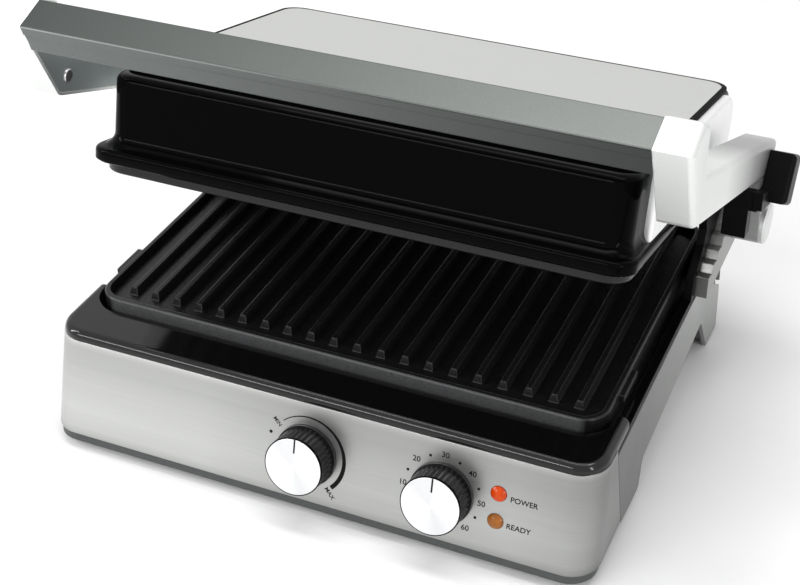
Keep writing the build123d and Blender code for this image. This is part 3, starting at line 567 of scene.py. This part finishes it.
LID_PIVOT = Vector(joints["lid_tilt"]["pos_m"]) / MM
LID_PIVOT_IN_LID = (0.0, 90.7, 37.7)
LID_TILT = 14.6
LID_REAR = 213.4
LID_CORNER = 11.5
LID_SKIN = 2.5
PLATE_POCKET = (141.8, -0.8, 197.8)
POCKET_HIGH = 13.5
POCKET_STEP = 0.2
RIM_HALF, RIM_FRONT = 144.9, -6.0
RIM_LOW, RIM_HIGH = 6.0, 13.3
RIM_EDGE = 1.0
RIM_REAR_STEP = 0.5
RIM_ROUND = 2.0
RIM_INSET = 2.2
RIM_STEPS = 7
FLARE_RISE = 6.2
WALL_HALF, WALL_FRONT = 139.2, 3.5
LID_TOP_FRONT, LID_TOP_REAR = 51.0, 55.7
LID_TOP_SLOPE = 1.283
LID_EDGE = 4.0
LID_EDGE_STEPS = 6
# The moulding's top stays this far below the height of the lid's rear
REAR_SINK = 0.1
# How near a vertex lies to a height to be taken as on it
NEAR = 0.1


def lid_matrix():
    turn = Matrix.Rotation(radians(-LID_TILT), 4, "X")
    return Matrix.Translation(LID_PIVOT * MM) @ turn @ Matrix.Translation(Vector(LID_PIVOT_IN_LID) * -MM)


def lid_shell():
    """The glossy moulding: pocket, rim, concave flare, wall and rounded top edge."""
    inner = (WALL_HALF - LID_SKIN, WALL_FRONT + LID_SKIN, LID_REAR - LID_SKIN)
    rings = [
        (LID_TOP_FRONT - LID_SKIN, *inner),
        (POCKET_HIGH + POCKET_STEP, *inner),
        (POCKET_HIGH, *PLATE_POCKET),
        (RIM_LOW, *PLATE_POCKET),
        (RIM_LOW, RIM_HALF - RIM_EDGE, RIM_FRONT + RIM_EDGE, LID_REAR - RIM_REAR_STEP),
        (RIM_LOW + RIM_EDGE, RIM_HALF, RIM_FRONT, LID_REAR),
        (RIM_HIGH - RIM_ROUND, RIM_HALF, RIM_FRONT, LID_REAR),
    ]
    for rise, share in quarter_turn(RIM_STEPS):
        inset = RIM_INSET * share
        high = RIM_HIGH - RIM_ROUND + RIM_ROUND * rise
        rings.append((high, RIM_HALF - inset, RIM_FRONT + inset, LID_REAR))
    low_half, low_front = RIM_HALF - RIM_INSET, RIM_FRONT + RIM_INSET
    for share, rise in quarter_turn(RIM_STEPS):
        half = low_half + (WALL_HALF - low_half) * share
        front = low_front + (WALL_FRONT - low_front) * share
        rings.append((RIM_HIGH + FLARE_RISE * rise, half, front, LID_REAR))
    top = LID_TOP_FRONT - LID_EDGE
    rings.append((top, WALL_HALF, WALL_FRONT, LID_REAR))
    for rise, share in quarter_turn(LID_EDGE_STEPS):
        inset = LID_EDGE * share
        rings.append((top + LID_EDGE * rise, WALL_HALF - inset, WALL_FRONT + inset, LID_REAR - inset))
    piece = ring_body("lid_moulding", rings, LID_CORNER)
    pick_vertices(piece, lambda place: place.z > top - NEAR and place.y > LID_REAR / 2)
    bpy.ops.transform.translate(value=(0.0, 0.0, (LID_TOP_REAR - LID_TOP_FRONT - REAR_SINK) * MM))
    settle(piece, lid_matrix(), black_gloss, "lid", 50.0)
    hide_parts("lid_shell")


TOP_PANEL = (138.4, 10.0, 205.0)
TOP_CORNER = 12.0
TRIM_WIDTH = 2.6
TRIM_HIGH = 2.0
TRIM_EDGE = 0.4
SHEET_LOW = 1.2


def top_matrix():
    slope = Matrix.Rotation(radians(LID_TOP_SLOPE), 4, "X")
    return lid_matrix() @ Matrix.Translation((0.0, WALL_FRONT * MM, LID_TOP_FRONT * MM)) @ slope


def lid_top():
    """The brushed sheet on the lid and the thin black frame round it."""
    half, front, rear = TOP_PANEL
    inner = (half - TRIM_WIDTH, front + TRIM_WIDTH, rear - TRIM_WIDTH)
    rings = [
        (0.0, *TOP_PANEL),
        (TRIM_HIGH - TRIM_EDGE, *TOP_PANEL),
        (TRIM_HIGH, half - TRIM_EDGE, front + TRIM_EDGE, rear - TRIM_EDGE),
        (TRIM_HIGH, *inner),
        (SHEET_LOW, *inner),
    ]
    trim = ring_body("lid_frame", rings, TOP_CORNER)
    settle(trim, top_matrix(), frame_black, "lid")
    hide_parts("lid_top_trim")
    sheet = ring_body("lid_sheet", [(SHEET_LOW, *inner), (TRIM_HIGH, *inner)], TOP_CORNER - TRIM_WIDTH)
    settle(sheet, top_matrix(), steel_top, "lid")
    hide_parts("lid_top_sheet")


# How far along an axis a face's normal points when the face looks that way
FACING = 0.9
SIDE_COVER_INNER, SIDE_COVER_OUTER = 138.6, 143.6
SIDE_COVER_FRONT, SIDE_COVER_REAR = 32.7, 201.5
SIDE_COVER_LOW = 12.8
SIDE_COVER_ROUNDING, SIDE_COVER_ROUNDING_STEPS = 15.0, 8
SIDE_COVER_EDGE, SIDE_COVER_EDGE_STEPS = 2.6, 4


def lid_side_covers():
    """The silver pieces on the lid's sides, with top edges and a rear corner that are rounded."""
    slope = sin(radians(LID_TOP_SLOPE))
    thickness = SIDE_COVER_OUTER - SIDE_COVER_INNER
    length = SIDE_COVER_REAR - SIDE_COVER_FRONT
    height = LID_TOP_FRONT + (SIDE_COVER_FRONT - WALL_FRONT) * slope - SIDE_COVER_LOW
    across = SIDE_COVER_INNER + thickness / 2
    back = SIDE_COVER_FRONT + length / 2
    up = SIDE_COVER_LOW + height / 2
    left = box_body("lid_side_cover_left_visual", (thickness, length, height), (-across, back, up))
    pick_vertices(left, lambda place: place.z > up and place.y > back)
    bpy.ops.transform.translate(value=(0.0, 0.0, length * slope * MM))
    bpy.ops.mesh.bevel(offset=SIDE_COVER_ROUNDING * MM, segments=SIDE_COVER_ROUNDING_STEPS)
    pick_faces(left, lambda normal: normal.x < -FACING)
    bpy.ops.mesh.region_to_loop()
    bpy.ops.mesh.bevel(offset=SIDE_COVER_EDGE * MM, segments=SIDE_COVER_EDGE_STEPS)
    bpy.ops.mesh.select_mode(type="VERT")
    right = copied(left, "lid_side_cover_right_visual")
    bpy.ops.object.mode_set(mode="EDIT")
    bpy.ops.mesh.select_all(action="SELECT")
    bpy.ops.transform.resize(value=(-1.0, 1.0, 1.0), center_override=(0.0, 0.0, 0.0))
    for piece, name in ((left, "lid_side_cover_left"), (right, "lid_side_cover_right")):
        settle(piece, lid_matrix(), cover_silver, "lid")
        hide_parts(name)


lid_shell()
lid_top()
lid_side_covers()


# Printing on the front panel, as thin layers of ink

INK_DEPTH = 0.04
CAPITAL_SHARE = 0.7
STROKE_SWELL = 0.02
NUMBERS = [("10", 180.0), ("20", 135.0), ("30", 90.0), ("40", 45.0), ("50", 0.0), ("60", -48.0)]
NUMBER_CIRCLE, NUMBER_HEIGHT = 20.6, 2.9
DOT_ANGLES = (157.5, 112.5, 67.5, 22.5, -24.0)
DOT_CIRCLE, DOT_RADIUS = 20.0, 0.75
OFF_DOT_CIRCLE, OFF_DOT_ANGLE, OFF_DOT_RADIUS = 21.7, 160.0, 0.9
# Each word with its circle, its angle round the dial, its height and its own turn
LIMITS = [("MIN", 22.0, 141.0, 2.2, -45.0), ("MAX", 22.9, -52.0, 2.3, -50.0)]
ARC_OUTER, ARC_INNER = 21.4, 20.0
ARC_SHIFT, ARC_THICK_END = 0.45, -45.0
ARC_CUTS = (225.0, 222.0)
ARC_STEPS, DOT_STEPS = 128, 24
PRINT_SHARP_ANGLE = 20.0
# Each word with its left end and its height above the dials' middle
LAMP_WORDS = [("POWER", 107.9, 6.6), ("READY", 107.4, -8.0)]
LAMP_WORD_HEIGHT = 2.8


def panel_matrix(x, lift=0.0):
    """A place on the front panel at the dials' height, with Z out of the panel and Y up along it."""
    lean = radians(FRONT_LEAN)
    y = PANEL_TOP[0] - (PANEL_TOP[1] - CONTROL_HEIGHT) * tan(lean)
    turn = Matrix.Rotation(pi / 2 - lean, 4, "X")
    point = Vector((x, y, CONTROL_HEIGHT)) * MM
    return Matrix.Translation(point) @ turn @ Matrix.Translation((0.0, 0.0, lift * MM))


def round_place(radius, angle):
    return radius * cos(radians(angle)), radius * sin(radians(angle))


def printed(text, x, up, height, turn=0.0, align="CENTER"):
    """A word as a thin closed layer, in the panel's plane."""
    deselect()
    bpy.ops.object.text_add(location=(x * MM, up * MM, 0.0), rotation=(0.0, 0.0, radians(turn)))
    words = bpy.context.object.data
    words.body = text
    words.align_x = align
    words.align_y = "CENTER"
    words.size = height / CAPITAL_SHARE * MM
    words.extrude = INK_DEPTH / 2 * MM
    words.offset = STROKE_SWELL * height * MM
    bpy.ops.object.convert(target="MESH")
    bpy.ops.object.transform_apply(location=True, rotation=True, scale=True)
    return bpy.context.object


def printed_dots(radius, circle, angles):
    """Dots of one size round a dial, the first modelled and the others copied from it."""
    deselect()
    bpy.ops.mesh.primitive_cylinder_add(
        vertices=DOT_STEPS, radius=radius * MM, depth=INK_DEPTH * MM, location=(0.0, 0.0, 0.0)
    )
    first = bpy.context.object
    dots = [first] + [copied(first, "dot") for angle in angles[1:]]
    for dot, angle in zip(dots, angles):
        select_only(dot)
        dot.location = (*round_place(circle * MM, angle), 0.0)
        bpy.ops.object.transform_apply(location=True, rotation=True, scale=True)
    return dots


def swelling_arc():
    """A line round half of the dial that grows thicker towards MAX."""
    deselect()
    x, y = round_place(ARC_SHIFT * MM, ARC_THICK_END)
    place = (x, y, -INK_DEPTH / 2 * MM)
    bpy.ops.mesh.primitive_circle_add(
        vertices=ARC_STEPS, radius=ARC_OUTER * MM, fill_type="NGON", location=place
    )
    arc = begin("swelling_arc")
    bpy.ops.mesh.inset(thickness=(ARC_OUTER - ARC_INNER) * MM)
    bpy.ops.transform.translate(value=(-2 * x, -2 * y, 0.0))
    bpy.ops.mesh.delete(type="FACE")
    for angle in ARC_CUTS:
        bpy.ops.mesh.select_all(action="SELECT")
        across = (*round_place(1.0, angle), 0.0)
        bpy.ops.mesh.bisect(plane_co=(0.0, 0.0, 0.0), plane_no=across, clear_outer=True)
    bpy.ops.mesh.select_all(action="SELECT")
    bpy.ops.mesh.extrude_region_move(TRANSFORM_OT_translate={"value": (0.0, 0.0, INK_DEPTH * MM)})
    bpy.ops.object.mode_set(mode="OBJECT")
    bpy.ops.object.transform_apply(location=True, rotation=True, scale=True)
    return arc


def print_on(pieces, name, x):
    """Joins flat prints into one piece and lays it on the panel."""
    deselect()
    for piece in pieces:
        piece.select_set(True)
    bpy.context.view_layer.objects.active = pieces[0]
    bpy.ops.object.join()
    pieces[0].name = name
    settle(pieces[0], panel_matrix(x, INK_DEPTH), print_black, "root", PRINT_SHARP_ANGLE)


def temperature_print():
    pieces = [swelling_arc()]
    pieces += printed_dots(OFF_DOT_RADIUS, OFF_DOT_CIRCLE, [OFF_DOT_ANGLE])
    for text, circle, angle, height, turn in LIMITS:
        pieces.append(printed(text, *round_place(circle, angle), height, turn))
    print_on(pieces, "temperature_scale", THERMOSTAT_X)


def timer_print():
    pieces = []
    for text, angle in NUMBERS:
        pieces.append(printed(text, *round_place(NUMBER_CIRCLE, angle), NUMBER_HEIGHT))
    pieces += printed_dots(DOT_RADIUS, DOT_CIRCLE, DOT_ANGLES)
    print_on(pieces, "timer_scale", TIMER_X)


def lamp_print():
    pieces = [printed(text, x, up, LAMP_WORD_HEIGHT, align="LEFT") for text, x, up in LAMP_WORDS]
    print_on(pieces, "lamp_words", 0.0)


temperature_print()
timer_print()
lamp_print()


# Small pieces on both dials, each modelled once and copied

RIM_LINE_STEPS = 72
RIM_LINE_RADIUS = 15.6
RIM_LINE_WIDTH = 0.55
RIM_LINE_LOW = 14.3
RIM_LINE_HEIGHT = 1.0
POINTER_SIZE = (0.88, 7.4, 0.32)
POINTER_MIDDLE_IN = 3.8
POINTER_SINK = 0.2
POINTER_EDGE = 0.06


def dial_rim(name):
    """The thin black edge that stands round a dial's bright face."""
    deselect()
    place = (0.0, 0.0, RIM_LINE_LOW * MM)
    bpy.ops.mesh.primitive_circle_add(
        vertices=RIM_LINE_STEPS, radius=RIM_LINE_RADIUS * MM, fill_type="NGON", location=place
    )
    rim = begin(name)
    bpy.ops.mesh.inset(thickness=RIM_LINE_WIDTH * MM)
    bpy.ops.mesh.delete(type="FACE")
    bpy.ops.mesh.select_all(action="SELECT")
    bpy.ops.mesh.extrude_region_move(TRANSFORM_OT_translate={"value": (0.0, 0.0, RIM_LINE_HEIGHT * MM)})
    return rim


def dial_pointer(name):
    """The black line let into a dial's bright face."""
    middle = (0.0, KNOB_CAP_RADIUS - POINTER_MIDDLE_IN, KNOB_LENGTH - POINTER_SINK)
    pointer = box_body(name, POINTER_SIZE, middle)
    bpy.ops.mesh.bevel(offset=POINTER_EDGE * MM, segments=2)
    return pointer


def on_both_dials(model, kind, material):
    """Models a piece for the temperature dial and copies it to the timer's."""
    first = model("temperature_" + kind)
    second = copied(first, "timer_" + kind)
    settle(first, panel_matrix(THERMOSTAT_X), material, "temperature_control")
    settle(second, panel_matrix(TIMER_X), material, "timer_control")


on_both_dials(dial_rim, "rim", black_gloss)
on_both_dials(dial_pointer, "pointer", print_black)


# Stage and lights, in metres, and the camera

WORLD_FILL = 0.45
SEEN_RAYS = ("Is Camera Ray", "Is Glossy Ray", "Is Transmission Ray")
FLOOR_SIZE = 12.0
FLOOR_TONES = [(0.0, 0.95), (1.0, 0.97)]
LIGHT_AIM = (0.0, 0.0, 0.1)
# Each light with its name, its place, its width and height, and its power
LIGHTS = [
    ("front", (-0.55, -1.35, 0.8), (1.3, 0.15), 9.0),
    ("left", (-1.3, -0.5, 0.9), (0.15, 1.0), 8.0),
    ("right", (1.3, -0.8, 0.7), (0.15, 0.9), 5.0),
    ("top", (0.0, 0.1, 1.6), (1.5, 0.5), 14.0),
]


def studio():
    """A world that is seen and reflected as white, and lights the object less than that."""
    world = bpy.data.worlds.new("studio_world")
    bpy.context.scene.world = world
    world.use_nodes = True
    made = Nodes(world.node_tree)
    camera_ray, glossy_ray, clear_ray = [made.node("ShaderNodeLightPath", {}, {}, ray) for ray in SEEN_RAYS]
    seen = camera_ray.larger(glossy_ray).larger(clear_ray)
    back = made.tree.nodes["Background"]
    made.feed(back.inputs["Color"], (1.0, 1.0, 1.0))
    made.feed(back.inputs["Strength"], seen * (1.0 - WORLD_FILL) + WORLD_FILL)


def floor():
    deselect()
    bpy.ops.mesh.primitive_plane_add(size=FLOOR_SIZE, location=(0.0, 0.0, 0.0))
    plane = bpy.context.object
    plane.name = "studio_floor"
    paint = Paint("pale_floor")
    tone = paint.greys(paint.noise(40.0, 2.0, 0.5), FLOOR_TONES)
    plane.data.materials.append(paint.finish(Base_Color=tone, Roughness=0.9))


def soft_light(name, place, size, power):
    light = bpy.data.lights.new(name, "AREA")
    light.shape = "RECTANGLE"
    light.size, light.size_y = size
    light.energy = power
    item = bpy.data.objects.new(name, light)
    item.location = place
    item.rotation_euler = (Vector(LIGHT_AIM) - Vector(place)).to_track_quat("-Z", "Y").to_euler()
    bpy.context.scene.collection.objects.link(item)


def photo_camera():
    lens = bpy.data.cameras.new("photo_camera")
    lens.lens = CAMERA_LENS
    lens.sensor_width = CAMERA_SENSOR
    lens.clip_start = 0.01
    camera = bpy.data.objects.new("photo_camera", lens)
    turn = Euler((radians(90.0 - CAMERA_DROP), 0.0, radians(CAMERA_TURN))).to_matrix().to_4x4()
    roll = Matrix.Rotation(radians(CAMERA_ROLL), 4, "Z")
    camera.matrix_world = Matrix.Translation(Vector(CAMERA_PLACE) * MM) @ turn @ roll
    bpy.context.scene.collection.objects.link(camera)
    bpy.context.scene.camera = camera


studio()
floor()
for light in LIGHTS:
    soft_light(*light)
photo_camera()
bpy.context.scene.view_settings.view_transform = "Standard"
